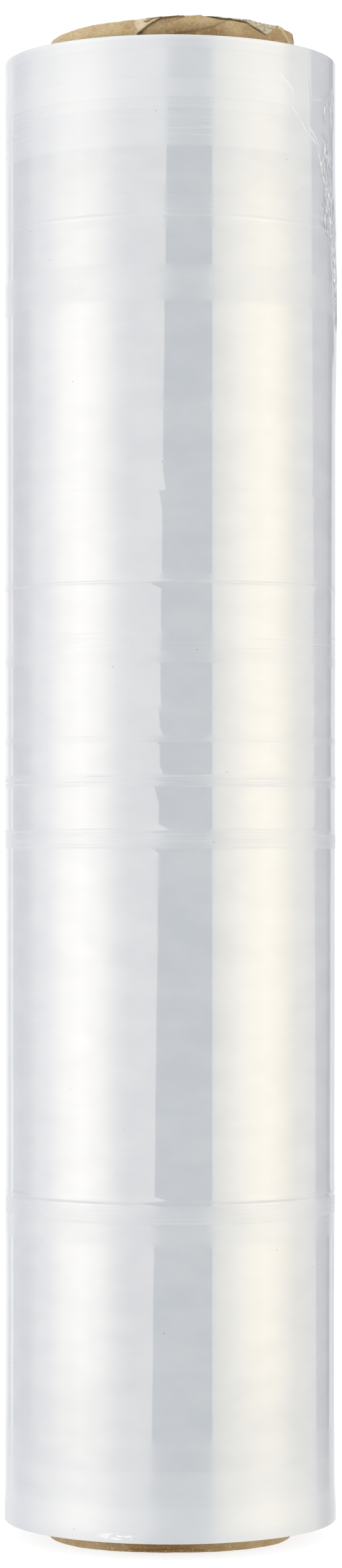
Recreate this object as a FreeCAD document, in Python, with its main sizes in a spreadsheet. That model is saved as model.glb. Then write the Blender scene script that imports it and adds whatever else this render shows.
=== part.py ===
import FreeCAD, Part
import math
import os
import Sketcher

# Stretch wrap roll: clear stretch film wound on a cardboard tube, standing on the tube's lower end.
# Origin at the centre of the tube's lower end, +Z up the axis, -Y the front, +X the right. Millimetres.

SIZES = [
    ("film_width", 500.0, "width of the film, and so the height of the wound part"),
    ("roll_diameter", 113.5, "outside of the wound film"),
    ("core_bore", 76.0, "inside diameter of the tube, the usual three inch core"),
    ("core_wall", 3.5, "wall of the tube, several plies of board"),
    ("core_top_reach", 10.5, "tube past the film at the top, to its highest corner"),
    ("core_base_reach", 6.0, "tube past the film at the bottom"),
    ("rim_worn_depth", 1.2, "most of the top rim lies this far below its highest corner"),
    ("rim_pressed_depth", 3.8, "the pressed left side lies this far below that corner"),
    ("rim_corner_width", 8.0, "how much of the rim the high corner takes, seen from the front"),
    ("rim_slope_width", 38.0, "how far the rim takes to fall to its pressed side"),
    ("ply_thickness", 0.7, "one ply of board, the depth of a torn patch"),
    ("ply_fold_height", 0.8, "how far the folded ply edge stands out of the tube"),
    ("ply_fold_width", 1.8, "width of the folded ply edge"),
    ("ply_gap_depth", 0.9, "depth of the gap where the plies have parted"),
    ("ply_gap_width", 0.8, "width of that gap"),
    ("edge_bevel", 0.9, "how far the film's two outer edges are rubbed down"),
    ("flare", 0.7, "how far the bottom of the film spreads past the roll"),
    ("flare_rise", 14.0, "height over which the flare runs out"),
    ("band_relief", 0.25, "how far a gauge band stands out of the film"),
    ("band_sink", 0.5, "how far a band's section reaches into the film"),
    ("turn_step", 0.35, "depth of the steps between turns on the film's ends"),
    ("turn_step_count", 6, "how many such steps each end shows"),
    ("turn_step_margin", 1.2, "plain ring left inside and outside the steps"),
    ("crease_height", 0.5, "how far a crease stands out of the film"),
    ("crease_width", 2.4, "width of a crease"),
    ("slack_lift", 1.2, "how far the slack outer turn stands off at the right"),
    ("slack_turn", 85.0, "where it stands off most, in degrees round from the front"),
    ("slack_drop", 80.0, "how far that is below the top of the film"),
    ("slack_depth", 4.0, "half depth of the slack place's round form, most of it inside the roll"),
    ("slack_half_width", 17.0, "half width of that form round the roll"),
    ("slack_half_height", 65.0, "half height of that form"),
]

# The film's gauge bands: lower and upper edge. Those in the first list are measured down from the top of the
# film, and those in the second up from its bottom.
BANDS_FROM_TOP = [(21, 14), (61, 50), (88, 74), (182.5, 179.5), (249, 246)]
BANDS_FROM_BASE = [(230, 237), (98, 112), (13, 15)]

# How much of a gauge band's height each of its two slopes takes.
BAND_SLOPE = 0.25

# Creases in the slack end of the film: degrees round from the front towards the right, and the depth below
# the top of the film.
CREASES = {
    "long_crease": [(39.7, 10.5), (45.8, 20), (52.8, 26.5), (61.3, 32), (66, 43), (71, 54), (73.5, 65)],
    "upright_crease": [(53.5, 4), (55, 21), (58.7, 28), (61.3, 32)],
    "outer_crease": [(68.4, 32), (71.8, 41.5), (77, 52), (82, 62), (80.2, 70.5)],
}

# The torn top of the tube: degrees round from the front, and how far down the top reach of the tube the
# point lies, from 0 at its highest corner to 1 at the film.
PLY_FOLD = [(-14.4, 0.69), (-9.9, 0.47), (-4.4, 0.21), (6.2, 0.13)]
PLY_GAP = [(16.7, 0.15), (24, 0.17), (38.8, 0.17), (43.1, 0.27), (50.9, 0.4)]
TORN_PATCH = [(-18, 0), (-15.2, 0.67), (-4.4, 0.2), (-4.4, 0)]

# A crease or fold thins out at both ends, to these shares of its width and height.
END_WIDTH = 0.4
END_HEIGHT = 0.3

CORE_RADIUS = "Sizes.core_bore / 2 + Sizes.core_wall"
ROLL_RADIUS = "Sizes.roll_diameter / 2"
FILM_BASE = "Sizes.core_base_reach"
FILM_TOP = "Sizes.core_base_reach + Sizes.film_width"
CORE_TOP = "Sizes.core_base_reach + Sizes.film_width + Sizes.core_top_reach"

doc = FreeCAD.newDocument("stretch_wrap_roll")


def make_sheet():
    """One row for each size: its name, its value and what it is."""
    sheet = doc.addObject("Spreadsheet::Sheet", "Sizes")
    for row, (name, value, note) in enumerate(SIZES, start=1):
        sheet.set(f"A{row}", name)
        sheet.set(f"B{row}", str(value))
        sheet.set(f"C{row}", note)
        sheet.setAlias(f"B{row}", name)
    doc.recompute()
    return sheet


sheet = make_sheet()


def value_of(expression):
    """What an expression of the sheet's sizes comes to, in millimetres."""
    return float(sheet.evalExpression(expression.replace("Sizes.", "")))


def origin_plane(body, role):
    return next(f for f in body.Origin.OriginFeatures if f.Role == role)


def sketch_on(body, role, name):
    sketch = body.newObject("Sketcher::SketchObject", name)
    sketch.AttachmentSupport = [(origin_plane(body, role), "")]
    sketch.MapMode = "FlatFace"
    return sketch


def outline(sketch, corners):
    """Closes straight edges through corners, and ties each corner to its two expressions."""
    spots = [FreeCAD.Vector(value_of(across), value_of(up), 0) for across, up in corners]
    first = sketch.GeometryCount
    count = len(spots)
    for i in range(count):
        sketch.addGeometry(Part.LineSegment(spots[i], spots[(i + 1) % count]), False)
    for i in range(count):
        following = first + (i + 1) % count
        sketch.addConstraint(Sketcher.Constraint("Coincident", first + i, 2, following, 1))
    for i, (corner, spot) in enumerate(zip(corners, spots)):
        for kind, expression, place in zip(("DistanceX", "DistanceY"), corner, spot):
            index = sketch.addConstraint(Sketcher.Constraint(kind, -1, 1, first + i, 1, place))
            sketch.setExpression(f"Constraints[{index}]", expression)


def ring(sketch, radius):
    """A circle about the axis with its radius tied to an expression."""
    circle = Part.Circle(FreeCAD.Vector(0, 0, 0), FreeCAD.Vector(0, 0, 1), value_of(radius))
    number = sketch.addGeometry(circle, False)
    sketch.addConstraint(Sketcher.Constraint("Coincident", number, 3, -1, 1))
    index = sketch.addConstraint(Sketcher.Constraint("Radius", number, value_of(radius)))
    sketch.setExpression(f"Constraints[{index}]", radius)


def turned(body, kind, name, sketch):
    """A full turn of a sketch about the roll's axis, added or cut away as kind says."""
    feature = body.newObject(f"PartDesign::{kind}", name)
    feature.Profile = sketch
    feature.ReferenceAxis = (sketch, ["V_Axis"])
    feature.Angle = 360.0
    doc.recompute()
    return feature


def on_wall(angle, height, radius):
    """A point at a radius, by degrees round from the front towards the right and a height."""
    turn = math.radians(angle)
    return FreeCAD.Vector(radius * math.sin(turn), -radius * math.cos(turn), height)


def flat_faced_solid(faces):
    """A closed solid from triangles given by their corners."""
    sides = [Part.Face(Part.makePolygon([*corners, corners[0]])) for corners in faces]
    solid = Part.Solid(Part.Shell(sides))
    if solid.Volume < 0:
        solid.reverse()
    return solid


def wedge_along(route, top, radius, reach, width, root):
    """A three-sided wedge that follows a route on a round wall. Its crest is reach out of the wall, or into
    it where reach is negative, and its foot is root on the other side. It thins out to both ends."""
    heights = [top - depth for _, depth in route]
    flat = [(math.radians(angle) * radius, height) for (angle, _), height in zip(route, heights)]
    last = len(route) - 1
    side = math.copysign(root, -reach)
    sections = []
    for i, (angle, _) in enumerate(route):
        before, after = flat[max(i - 1, 0)], flat[min(i + 1, last)]
        along, up = after[0] - before[0], after[1] - before[1]
        length = math.hypot(along, up)
        half = width / 2 * (END_WIDTH if i in (0, last) else 1.0)
        rise = reach * (END_HEIGHT if i in (0, last) else 1.0)
        swing = math.degrees(half * up / length / radius)
        lift = half * along / length
        sections.append(
            (
                on_wall(angle - swing, heights[i] + lift, radius + side),
                on_wall(angle + swing, heights[i] - lift, radius + side),
                on_wall(angle, heights[i], radius + rise),
            )
        )
    faces = [sections[0], sections[-1][::-1]]
    for here, there in zip(sections, sections[1:]):
        for j in range(3):
            k = (j + 1) % 3
            faces.append((here[j], there[j], here[k]))
            faces.append((here[k], there[j], there[k]))
    return flat_faced_solid(faces)


def prism_through(corners, top, low_radius, high_radius):
    """A block with the same many-sided outline on a round wall at both radii."""
    inner = [on_wall(angle, top - depth, low_radius) for angle, depth in corners]
    outer = [on_wall(angle, top - depth, high_radius) for angle, depth in corners]
    count = len(corners)
    faces = []
    for i in range(1, count - 1):
        faces.append((inner[0], inner[i], inner[i + 1]))
        faces.append((outer[0], outer[i + 1], outer[i]))
    for i in range(count):
        j = (i + 1) % count
        faces.append((inner[i], outer[i], inner[j]))
        faces.append((inner[j], outer[i], outer[j]))
    return flat_faced_solid(faces)


def shape_object(name, shape):
    piece = doc.addObject("Part::Feature", name)
    piece.Shape = shape
    return piece


def cut_from(base, tools, name):
    """base with the tools cut away, one after the other."""
    for number, tool in enumerate(tools, start=1):
        rest = doc.addObject("Part::Cut", f"{name}_{number}")
        rest.Base = base
        rest.Tool = tool
        base = rest
    doc.recompute()
    return base


def fused(pieces, label):
    """The pieces as one solid, which is a node of its own."""
    whole = doc.addObject("Part::MultiFuse", label)
    whole.Shapes = pieces
    whole.Label = label
    doc.recompute()
    return whole


def worn_tube():
    """The tube as a ring, with its top rim worn low and pressed down on the left."""
    body = doc.addObject("PartDesign::Body", "core_body")
    section = sketch_on(body, "XY_Plane", "core_section")
    ring(section, "Sizes.core_bore / 2")
    ring(section, CORE_RADIUS)
    tube = body.newObject("PartDesign::Pad", "core_tube")
    tube.Profile = section
    tube.setExpression("Length", CORE_TOP)
    doc.recompute()

    worn = f"{CORE_TOP} - Sizes.rim_worn_depth"
    pressed = f"{CORE_TOP} - Sizes.rim_pressed_depth"
    above = f"{CORE_TOP} + Sizes.core_wall"
    left = f"-({CORE_RADIUS})"
    clear_left = f"{left} - Sizes.core_wall"
    rim = sketch_on(body, "XZ_Plane", "rim_outline")
    outline(
        rim,
        [
            (clear_left, pressed),
            (f"{left} + Sizes.core_wall", pressed),
            (f"{left} + Sizes.core_wall + Sizes.rim_slope_width", worn),
            (f"{CORE_RADIUS} - Sizes.rim_corner_width", worn),
            (CORE_RADIUS, CORE_TOP),
            (CORE_RADIUS, above),
            (clear_left, above),
        ],
    )
    cut = body.newObject("PartDesign::Pocket", "worn_rim")
    cut.Profile = rim
    cut.Type = "ThroughAll"
    cut.Midplane = True
    doc.recompute()
    return body


def make_core():
    """The tube, with the ply that is torn, parted and folded over at the front of its top rim."""
    radius = value_of(CORE_RADIUS)
    top = value_of(CORE_TOP)
    ply = sheet.ply_thickness

    def down_the_reach(route):
        return [(angle, share * sheet.core_top_reach) for angle, share in route]

    patch = prism_through(down_the_reach(TORN_PATCH), top, radius - ply, radius + ply)
    route = down_the_reach(PLY_GAP)
    gap = wedge_along(route, top, radius, -sheet.ply_gap_depth, sheet.ply_gap_width, ply)
    route = down_the_reach(PLY_FOLD)
    fold = wedge_along(route, top, radius, sheet.ply_fold_height, sheet.ply_fold_width, ply)
    torn = [shape_object("torn_patch", patch), shape_object("ply_gap", gap)]
    return fused([cut_from(worn_tube(), torn, "torn_tube"), shape_object("ply_fold", fold)], "core")


def rub_down_edges(body, winding):
    """Takes the sharpness off the two outer edges of the film."""
    ends = (value_of(FILM_BASE), value_of(FILM_TOP))
    halfway = (value_of(CORE_RADIUS) + value_of(ROLL_RADIUS)) / 2
    rims = []
    for number, edge in enumerate(winding.Shape.Edges, start=1):
        box = edge.BoundBox
        level = box.ZLength < 1e-6 and min(abs(box.ZMin - end) for end in ends) < 1e-6
        if level and isinstance(edge.Curve, Part.Circle) and edge.Curve.Radius > halfway:
            rims.append(f"Edge{number}")
    rubbed = body.newObject("PartDesign::Chamfer", "rubbed_edges")
    rubbed.Base = (winding, rims)
    rubbed.setExpression("Size", "Sizes.edge_bevel")
    doc.recompute()


def raise_gauge_bands(body):
    """Low rings round the film, each with a slope on both sides."""
    bands = sketch_on(body, "XZ_Plane", "gauge_bands")
    foot = f"{ROLL_RADIUS} - Sizes.band_sink"
    crown = f"{ROLL_RADIUS} + Sizes.band_relief"
    edges = [(f"{FILM_TOP} - {low}", f"{FILM_TOP} - {high}", low - high) for low, high in BANDS_FROM_TOP]
    edges += [(f"{FILM_BASE} + {low}", f"{FILM_BASE} + {high}", high - low) for low, high in BANDS_FROM_BASE]
    for low, high, width in edges:
        slope = width * BAND_SLOPE
        outline(
            bands,
            [(foot, low), (crown, f"{low} + {slope}"), (crown, f"{high} - {slope}"), (foot, high)],
        )
    turned(body, "Revolution", "banded_film", bands)


def step_the_ends(body):
    """Shallow steps on both ends of the film, as a saw-toothed section for each."""
    steps = sketch_on(body, "XZ_Plane", "turn_steps")
    inside = f"{CORE_RADIUS} + Sizes.turn_step_margin"
    pitch = f"({ROLL_RADIUS} - ({CORE_RADIUS}) - 2 * Sizes.turn_step_margin) / Sizes.turn_step_count"
    for end, into, out in ((FILM_TOP, "-", "+"), (FILM_BASE, "+", "-")):
        clear = f"{end} {out} Sizes.turn_step"
        saw = [(inside, end)]
        for number in range(1, int(sheet.turn_step_count) + 1):
            edge = f"{inside} + {number} * {pitch}"
            saw += [(edge, f"{end} {into} Sizes.turn_step"), (edge, end)]
        saw[-1] = (edge, clear)
        outline(steps, [*saw, (inside, clear)])
    turned(body, "Groove", "stepped_ends", steps)


def slack_place():
    """Where the loose outer turn stands off the roll, as part of an egg that lies mostly inside it."""
    form = doc.addObject("Part::Ellipsoid", "slack_form")
    form.setExpression("Radius1", "Sizes.slack_half_height")
    form.setExpression("Radius2", "Sizes.slack_depth")
    form.setExpression("Radius3", "Sizes.slack_half_width")
    inward = value_of(f"{ROLL_RADIUS} + Sizes.slack_lift - Sizes.slack_depth")
    middle = on_wall(sheet.slack_turn, value_of(f"{FILM_TOP} - Sizes.slack_drop"), inward)
    facing = FreeCAD.Rotation(FreeCAD.Vector(0, 0, 1), sheet.slack_turn - 90)
    form.Placement = FreeCAD.Placement(middle, facing)
    reach = doc.addObject("Part::Cylinder", "slack_reach")
    reach.setExpression("Radius", f"{ROLL_RADIUS} + Sizes.slack_lift * 2")
    reach.setExpression("Height", "Sizes.film_width - 2 * Sizes.edge_bevel")
    reach.setExpression("Placement.Base.z", f"{FILM_BASE} + Sizes.edge_bevel")
    place = doc.addObject("Part::Common", "slack_place")
    place.Base = form
    place.Tool = reach
    doc.recompute()
    return place


def make_film_roll():
    """The wound film: its section turned about the axis, the gauge bands on its side, the steps between
    turns on its two ends, and the slack, creased end of the film at the upper right."""
    body = doc.addObject("PartDesign::Body", "film_body")
    section = sketch_on(body, "XZ_Plane", "film_section")
    outline(
        section,
        [
            (CORE_RADIUS, FILM_BASE),
            (f"{ROLL_RADIUS} + Sizes.flare", FILM_BASE),
            (ROLL_RADIUS, f"{FILM_BASE} + Sizes.flare_rise"),
            (ROLL_RADIUS, FILM_TOP),
            (CORE_RADIUS, FILM_TOP),
        ],
    )
    rub_down_edges(body, turned(body, "Revolution", "winding", section))
    raise_gauge_bands(body)
    step_the_ends(body)

    radius = value_of(ROLL_RADIUS)
    top = value_of(FILM_TOP)
    pieces = [body, slack_place()]
    for name, route in CREASES.items():
        wedge = wedge_along(route, top, radius, sheet.crease_height, sheet.crease_width, sheet.band_sink)
        pieces.append(shape_object(name, wedge))
    return fused(pieces, "film_roll")


def bad_states(item):
    return [word for word in item.State if word in ("Invalid", "Error")]


nodes = [make_core(), make_film_roll()]
doc.recompute()

broken = [item.Name for item in doc.Objects if bad_states(item)]
if broken:
    raise SystemExit(f"these objects failed: {broken}")
for node in nodes:
    if node.Shape.isNull() or not node.Shape.isValid() or len(node.Shape.Solids) != 1:
        raise SystemExit(f"{node.Label} is not one valid solid")

os.makedirs("parts", exist_ok=True)
for node in nodes:
    node.Shape.exportStep(os.path.join("parts", f"{node.Label}.step"))
    box = node.Shape.BoundBox
    print(node.Label, "volume", round(node.Shape.Volume), "mm3, height", round(box.ZLength, 2), "mm")
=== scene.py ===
import math

import bpy
import numpy as np
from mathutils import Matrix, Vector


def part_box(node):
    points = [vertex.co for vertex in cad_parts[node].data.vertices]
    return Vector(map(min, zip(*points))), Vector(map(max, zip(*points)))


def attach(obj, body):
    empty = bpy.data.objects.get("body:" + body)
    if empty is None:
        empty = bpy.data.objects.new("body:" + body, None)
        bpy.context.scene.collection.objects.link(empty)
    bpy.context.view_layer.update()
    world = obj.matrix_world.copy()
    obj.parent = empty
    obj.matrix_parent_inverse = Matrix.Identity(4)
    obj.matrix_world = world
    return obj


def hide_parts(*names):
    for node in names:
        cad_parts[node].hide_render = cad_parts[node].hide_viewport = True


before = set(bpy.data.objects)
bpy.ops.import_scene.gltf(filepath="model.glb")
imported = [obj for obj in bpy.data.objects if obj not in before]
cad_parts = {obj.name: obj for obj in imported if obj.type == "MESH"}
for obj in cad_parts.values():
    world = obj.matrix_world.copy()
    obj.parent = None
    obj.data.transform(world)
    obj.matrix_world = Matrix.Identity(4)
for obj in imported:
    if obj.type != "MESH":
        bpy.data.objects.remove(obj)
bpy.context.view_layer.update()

# Photographer's camera: level with the lower half of the roll and square to it, so that upright edges stay
# parallel. Its place follows from how the film's two round edges curve in the picture.

PHOTO_WIDTH, PHOTO_HEIGHT = 551, 2528
FOCAL_PIXELS = 6707
AXIS_COLUMN, HORIZON_ROW = 274.5, 1370
CAMERA_DISTANCE, CAMERA_HEIGHT = 1.434, 0.236
SENSOR_MM = 36

camera_data = bpy.data.cameras.new("camera")
camera_data.sensor_width = SENSOR_MM
camera_data.lens = FOCAL_PIXELS / PHOTO_HEIGHT * SENSOR_MM
camera_data.shift_y = (HORIZON_ROW - PHOTO_HEIGHT / 2) / PHOTO_HEIGHT
camera = bpy.data.objects.new("camera", camera_data)
off_axis = (PHOTO_WIDTH / 2 - AXIS_COLUMN) * CAMERA_DISTANCE / FOCAL_PIXELS
camera.location = (off_axis, -CAMERA_DISTANCE, CAMERA_HEIGHT)
camera.rotation_euler = (math.radians(90), 0, 0)
bpy.context.scene.collection.objects.link(camera)
bpy.context.scene.camera = camera
bpy.context.scene.view_settings.view_transform = "Standard"

# Studio: tall soft lights stand left and right of the roll, the left one neutral and the right one warm,
# with a dim gap between them where the camera stands, dim flanks and a white backdrop behind the roll.


def linear(code):
    """A colour written as sRGB hex, as linear red, green, blue and an alpha of 1."""
    parts = [int(code[i : i + 2], 16) / 255 for i in (1, 3, 5)]
    return (*[c / 12.92 if c <= 0.04045 else ((c + 0.055) / 1.055) ** 2.4 for c in parts], 1.0)


def add(tree, kind, inputs=None, **settings):
    """Adds a node to a tree: settings are its own properties, and inputs are links or plain values."""
    made = tree.nodes.new(kind)
    for name, value in settings.items():
        setattr(made, name, value)
    for key, value in (inputs or {}).items():
        if isinstance(value, bpy.types.NodeSocket):
            tree.links.new(value, made.inputs[key])
        else:
            made.inputs[key].default_value = value
    return made


# How bright the studio is all round, by degrees from the camera towards the right of the picture.
LEFT_LIGHT, RIGHT_LIGHT, RIGHT_EDGE, SHADE, BACKDROP = "#FFFCF3", "#FFF5DA", "#FFFBE8", "#EFF4FF", "#FFFFFF"
STUDIO = [
    (-157, 1.12, BACKDROP),
    (-153, 0.78, BACKDROP),
    (-150.5, 0.78, BACKDROP),
    (-148, 1.08, BACKDROP),
    (-143.5, 1.05, SHADE),
    (-141.5, 0.67, SHADE),
    (-128, 0.66, SHADE),
    (-117, 0.8, SHADE),
    (-108, 1.02, BACKDROP),
    (-94, 1.25, BACKDROP),
    (-80, 1.75, LEFT_LIGHT),
    (-64, 2.0, LEFT_LIGHT),
    (-49, 1.7, LEFT_LIGHT),
    (-37, 1.15, BACKDROP),
    (-28, 0.95, BACKDROP),
    (29.5, 0.9, BACKDROP),
    (33, 1.06, RIGHT_EDGE),
    (47, 1.48, RIGHT_EDGE),
    (56, 1.8, RIGHT_LIGHT),
    (70, 1.97, RIGHT_LIGHT),
    (82, 1.74, RIGHT_LIGHT),
    (96, 1.22, RIGHT_EDGE),
    (116.8, 0.88, BACKDROP),
    (118.2, 0.58, SHADE),
    (142, 0.42, SHADE),
    (145, 0.26, SHADE),
    (153.6, 0.26, SHADE),
    (155.2, 0.9, SHADE),
    (161, 0.98, SHADE),
    (174, 0.8, BACKDROP),
    (180, 0.5, BACKDROP),
]
BRIGHTEST = 2.0
CEILING_LIGHT, PLAIN_LIGHT = 1.25, 0.95
GAP_LIGHT, GAP_LEFT, GAP_RIGHT, GAP_LEAN, GAP_TINT = 0.47, -8.5, 28.5, 32.5, "#D8F0FA"

world = bpy.data.worlds.new("studio")
bpy.context.scene.world = world
world.use_nodes = True
tree = world.node_tree
tree.nodes.clear()
direction = add(tree, "ShaderNodeTexCoord").outputs["Generated"]
along = add(tree, "ShaderNodeSeparateXYZ", {0: direction}).outputs
towards_camera = add(tree, "ShaderNodeMath", {0: along["Y"], 1: -1.0}, operation="MULTIPLY").outputs[0]
turn = add(tree, "ShaderNodeMath", {0: along["X"], 1: towards_camera}, operation="ARCTAN2").outputs[0]
turn = add(tree, "ShaderNodeMath", {0: turn}, operation="DEGREES").outputs[0]

# The right flank narrows towards the floor.
inwards = add(tree, "ShaderNodeMapRange", {0: turn, 1: 95.0, 2: 118.0, 3: 0.0, 4: 30.0}).outputs[0]
outwards = add(tree, "ShaderNodeMapRange", {0: turn, 1: 118.0, 2: 156.0, 3: 0.0, 4: -82.0}).outputs[0]
lean = add(tree, "ShaderNodeMath", {0: inwards, 1: outwards}, operation="ADD").outputs[0]
lower = add(tree, "ShaderNodeMath", {0: along["Z"], 1: 0.107}, operation="SUBTRACT").outputs[0]
leant = add(tree, "ShaderNodeMath", {0: lean, 1: lower, 2: turn}, operation="MULTIPLY_ADD").outputs[0]
share = add(tree, "ShaderNodeMapRange", {0: leant, 1: -180.0, 2: 180.0}).outputs[0]
walls = add(tree, "ShaderNodeValToRGB", {0: share})
stops = walls.color_ramp.elements
for number, (degrees, brightness, tint) in enumerate(STUDIO):
    place = (degrees + 180) / 360
    stop = stops[0] if number == 0 else stops.new(place)
    stop.position = place
    stop.color = [c * brightness / BRIGHTEST for c in linear(tint)[:3]] + [1.0]
stops.remove(stops[-1])

# Above and below the roll's middle the bright parts fall back towards the backdrop's level, and everything
# is a little dimmer near the floor.
off_middle = add(tree, "ShaderNodeMath", {0: along["Z"], 1: 0.01}, operation="SUBTRACT").outputs[0]
off_middle = add(tree, "ShaderNodeMath", {0: off_middle}, operation="ABSOLUTE").outputs[0]
calmer = add(
    tree,
    "ShaderNodeMapRange",
    {0: off_middle, 1: 0.11, 2: 0.19, 3: 0.0, 4: 0.66},
    interpolation_type="SMOOTHSTEP",
).outputs[0]
level = [PLAIN_LIGHT / BRIGHTEST] * 3 + [1.0]
calm = add(tree, "ShaderNodeMix", {0: calmer, 6: walls.outputs[0], 7: level}, data_type="RGBA").outputs[2]
side_light = add(tree, "ShaderNodeVectorMath", {0: walls.outputs[0], 1: calm}, operation="MINIMUM").outputs[0]
fall = add(tree, "ShaderNodeMapRange", {0: along["Z"], 1: -0.04, 2: -0.2, 3: 1.0, 4: 0.89}).outputs[0]

# The left flank is brighter near the floor.
flank_from = add(tree, "ShaderNodeMapRange", {0: turn, 1: -152.0, 2: -140.0}).outputs[0]
flank_to = add(tree, "ShaderNodeMapRange", {0: turn, 1: -132.0, 2: -112.0, 3: 1.0, 4: 0.0}).outputs[0]
low_down = add(tree, "ShaderNodeMapRange", {0: along["Z"], 1: 0.01, 2: -0.08, 3: 0.0, 4: 0.3}).outputs[0]
flank = add(tree, "ShaderNodeMath", {0: flank_from, 1: flank_to}, operation="MULTIPLY").outputs[0]
fall = add(tree, "ShaderNodeMath", {0: flank, 1: low_down, 2: fall}, operation="MULTIPLY_ADD").outputs[0]
side_light = add(tree, "ShaderNodeVectorMath", {0: side_light, 3: fall}, operation="SCALE").outputs[0]

# The gap has crisp edges, and its left one leans.
leaning = add(
    tree, "ShaderNodeMath", {0: along["Z"], 1: -GAP_LEAN, 2: turn}, operation="MULTIPLY_ADD"
).outputs[0]
past_left = add(tree, "ShaderNodeMapRange", {0: leaning, 1: GAP_LEFT, 2: GAP_LEFT + 0.8}).outputs[0]
past_right = add(tree, "ShaderNodeMapRange", {0: turn, 1: GAP_RIGHT, 2: GAP_RIGHT + 0.8, 3: 1.0, 4: 0.0})
in_gap = add(
    tree, "ShaderNodeMath", {0: past_left, 1: past_right.outputs[0]}, operation="MULTIPLY"
).outputs[0]
gap = [c * GAP_LIGHT / BRIGHTEST for c in linear(GAP_TINT)[:3]] + [1.0]
with_gap = add(tree, "ShaderNodeMix", {0: in_gap, 6: side_light, 7: gap}, data_type="RGBA").outputs[2]
overhead = add(
    tree, "ShaderNodeMapRange", {0: along["Z"], 1: 0.4, 2: 0.75}, interpolation_type="SMOOTHSTEP"
).outputs[0]
ceiling = [CEILING_LIGHT / BRIGHTEST] * 3 + [1.0]
room = add(tree, "ShaderNodeMix", {0: overhead, 6: with_gap, 7: ceiling}, data_type="RGBA")
lit = add(tree, "ShaderNodeBackground", {0: room.outputs[2], 1: BRIGHTEST}).outputs[0]
seen = add(tree, "ShaderNodeBackground", {0: linear(BACKDROP), 1: 1.0}).outputs[0]
to_camera = add(tree, "ShaderNodeLightPath").outputs["Is Camera Ray"]
both = add(tree, "ShaderNodeMixShader", {0: to_camera, 1: lit, 2: seen}).outputs[0]
add(tree, "ShaderNodeOutputWorld", {0: both})

# Floor: one wide sheet of matt white acrylic, lit a little from below, so that the roll's shadow is faint.
# Mirror-like surfaces don't show it, as in the picture, where the lights run on to the foot of the film.

FLOOR_HALF = 30.0

corners = [(x * FLOOR_HALF, y * FLOOR_HALF, 0) for x, y in ((-1, -1), (1, -1), (1, 1), (-1, 1))]
floor_mesh = bpy.data.meshes.new("floor")
floor_mesh.from_pydata(corners, [], [(0, 1, 2, 3)])
floor = bpy.data.objects.new("floor", floor_mesh)
bpy.context.scene.collection.objects.link(floor)
floor.visible_glossy = False
acrylic = bpy.data.materials.new("matt white acrylic")
acrylic.use_nodes = True
shader = acrylic.node_tree.nodes["Principled BSDF"]
shader.inputs["Base Color"].default_value = linear("#A2A2A2")
shader.inputs["Emission Color"].default_value = linear("#FFFFFF")
shader.inputs["Emission Strength"].default_value = 0.74
shader.inputs["Roughness"].default_value = 1.0
shader.inputs["Specular IOR Level"].default_value = 0.0
floor_mesh.materials.append(acrylic)

# Cardboard core: a tube of five glued plies of brown kraft board, wound in a spiral and cut square. Rough
# handling has pressed its top rim down at the left, torn its outer ply open at the front and folded it over,
# and frayed the rim at the right.

MM = 0.001
core_low, core_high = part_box("core")
CORE_OUTSIDE, CORE_BORE = 41.5, 38.0
PLY = 0.7
CORE_FOLDED_TOP = 507.0

# Height of the top rim in mm, by degrees to the right of the front.
RIM = [
    (-180, 514.3),
    (-140, 513.3),
    (-100, 512.9),
    (-80, 512.9),
    (-68, 513.2),
    (-55, 513.35),
    (-46, 513.65),
    (-39, 513.75),
    (-32, 513.85),
    (-25, 513.9),
    (-17.6, 514.2),
    (-14, 514.55),
    (-7, 514.7),
    (0, 514.85),
    (8, 515.3),
    (14, 515.7),
    (22, 515.5),
    (36, 515.55),
    (40, 515.9),
    (45, 515.5),
    (51, 515.6),
    (57, 515.7),
    (64.6, 516.3),
    (69.4, 515.75),
    (76, 516),
    (84, 516.2),
    (90, 516),
    (120, 516.1),
    (150, 515.2),
    (180, 514.3),
]

# Creases and tears: their line in degrees and mm, how far they rise, and their width above and below it.
FOLD = ([(-15.2, 509.2), (-13.2, 510.3), (-9.9, 512.2), (-4.4, 514.4), (6.2, 515.3)], 1.0, 1.1, 0.16)
FOLD_CREASE = ([(-3.6, 512.9), (1.5, 513.8), (6.5, 515.1)], -0.3, 0.2, 0.3)
BULGE_CREASE = ([(2.0, 509.2), (10.0, 510.3), (19.0, 511.6), (27.3, 514.4)], -0.45, 0.3, 1.0)
TEAR = (
    [(15.0, 515.7), (20.0, 515.2), (24.1, 514.9), (29.3, 515.0), (38.8, 514.7), (43.1, 513.4), (50.9, 511.9)],
    -1.3,
    0.3,
    0.2,
)
CORNER_CREASE = ([(60.0, 516.2), (66.0, 514.6), (76.0, 511.6), (84.0, 509.0)], 0.22, 0.8, 0.25)
LOWER_CREASE = ([(-19.0, 1.7), (-12.0, 1.4), (-3.0, 1.9), (4.0, 2.2), (11.0, 1.6), (16.0, 1.3)], -0.25, 0.2, 0.2)
LOWER_SCRATCH = ([(6.0, 2.9), (14.0, 2.5), (25.0, 1.9)], -0.2, 0.15, 0.15)
# Where the outer ply is torn away, and where the rim is frayed to fibres, as corners in degrees and mm.
TORN_AWAY = [(-17.8, 518.0), (-17.2, 513.3), (-15.6, 510.6), (-13.6, 511.3), (-11.0, 512.9), (-11.6, 518.0)]
FOLD_GROOVE = [(-12.3, 513.6), (-9.9, 513.4), (-8.5, 514.2), (-4.2, 514.7)]
FRAYED = [
    (15.0, 518.0),
    (15.0, 515.8),
    (29.0, 515.2),
    (39.0, 514.9),
    (44.0, 513.6),
    (51.3, 512.2),
    (55.0, 513.1),
    (57.0, 514.6),
    (65.0, 515.9),
    (65.0, 518.0),
]


def unrolled(points):
    """Points in degrees and mm as lengths along the tube's outside and heights, both in mm."""
    return [(math.radians(degrees) * CORE_OUTSIDE, height) for degrees, height in points]


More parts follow.
